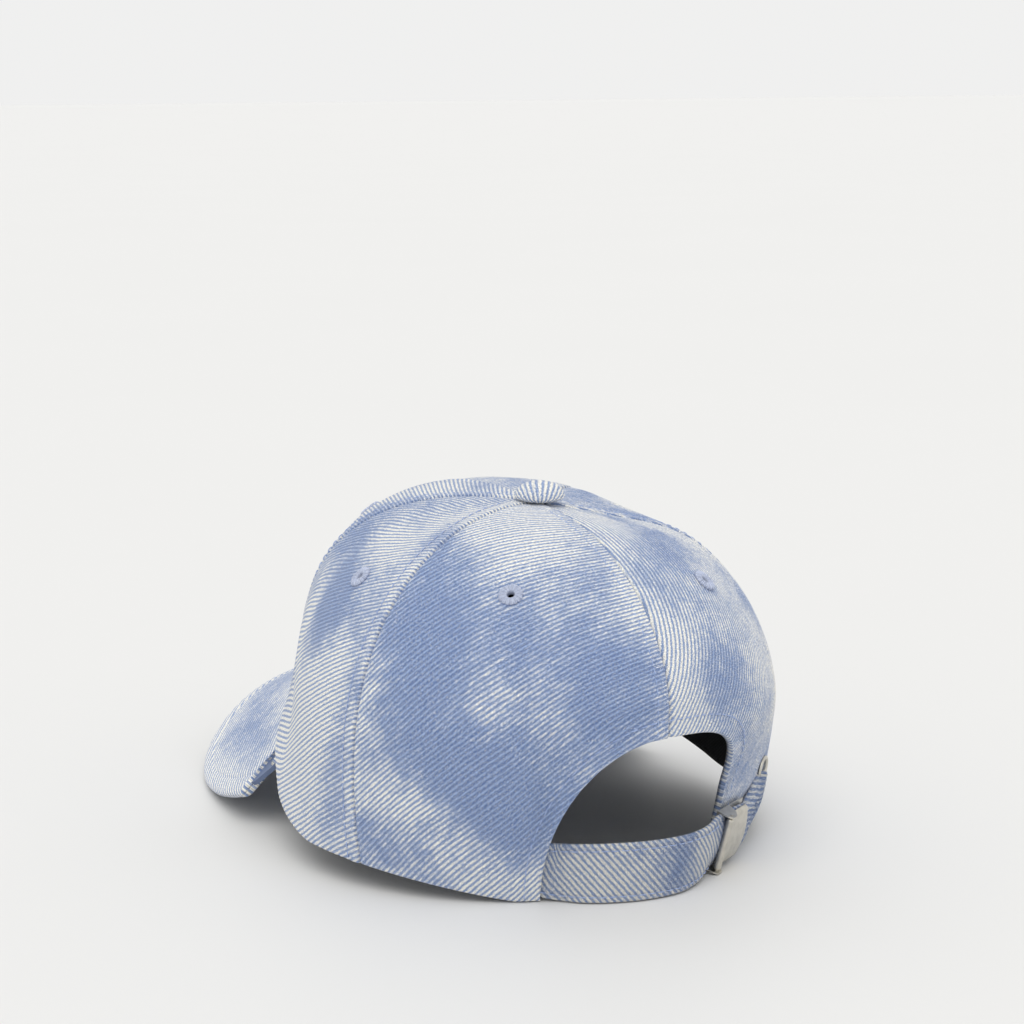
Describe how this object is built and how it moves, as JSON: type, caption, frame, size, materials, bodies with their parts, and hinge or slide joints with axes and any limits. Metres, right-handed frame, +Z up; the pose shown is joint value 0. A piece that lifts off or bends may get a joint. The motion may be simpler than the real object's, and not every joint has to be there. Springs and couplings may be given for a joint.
{
  "type": "baseball cap",
  "caption": "Structured panelled cap with a curved visor, an arched opening at the back and a cloth strap in a metal flip clasp.",
  "frame": {"origin": "on the surface the cap stands on, under the middle of its box", "axes": "+Z up, the visor points to -Y, +X to the wearer's left"},
  "size_m": [0.1724, 0.2514, 0.1223],
  "materials": {
    "crown_cloth": "washed twill, cream ridges on blue, matt",
    "visor_cloth": "washed twill, matt",
    "strap_cloth": "washed twill, matt",
    "eyelet_thread": "satin-stitched thread",
    "seam_tape": "black twill tape",
    "stiffener": "stiff open-weave cloth",
    "sweatband": "black cotton twill",
    "label": "woven, blank",
    "visor_board": "moulded sheet",
    "clasp_metal": "satin nickel plate"
  },
  "bodies": {
    "cap": {"arch_binding": "seam_tape", "button_cover": "crown_cloth", "button_rivet": "clasp_metal", "button_shell": "clasp_metal", "clasp_frame": "clasp_metal", "clasp_pin": "clasp_metal", "clasp_tab": "strap_cloth", "crown_panel_back_left": "crown_cloth", "crown_panel_back_right": "crown_cloth", "crown_panel_front_left": "crown_cloth", "crown_panel_front_right": "crown_cloth", "crown_panel_side_left": "crown_cloth", "crown_panel_side_right": "crown_cloth", "eyelet_back_left": "eyelet_thread", "eyelet_back_right": "eyelet_thread", "eyelet_front_left": "eyelet_thread", "eyelet_front_right": "eyelet_thread", "eyelet_side_left": "eyelet_thread", "eyelet_side_right": "eyelet_thread", "front_stiffener_left": "stiffener", "front_stiffener_right": "stiffener", "grommet": "clasp_metal", "grommet_washer": "clasp_metal", "inner_label": "label", "seam_tape_back": "seam_tape", "seam_tape_front": "seam_tape", "seam_tape_left_back": "seam_tape", "seam_tape_left_front": "seam_tape", "seam_tape_right_back": "seam_tape", "seam_tape_right_front": "seam_tape", "strap": "strap_cloth", "sweatband": "sweatband", "visor_board": "visor_board", "visor_bottom_cover": "visor_cloth", "visor_top_cover": "visor_cloth"},
    "clasp_lever": {"clasp_lever": "clasp_metal"}
  },
  "joints": [
    {"name": "clasp_lever_hinge", "type": "hinge", "parent": "cap", "child": "clasp_lever", "pos_m": [-0.03145, 0.11032, 0.0108], "axis": [0.1274, -0.2253, -0.9659], "range_deg": [0, 110]}
  ]
}
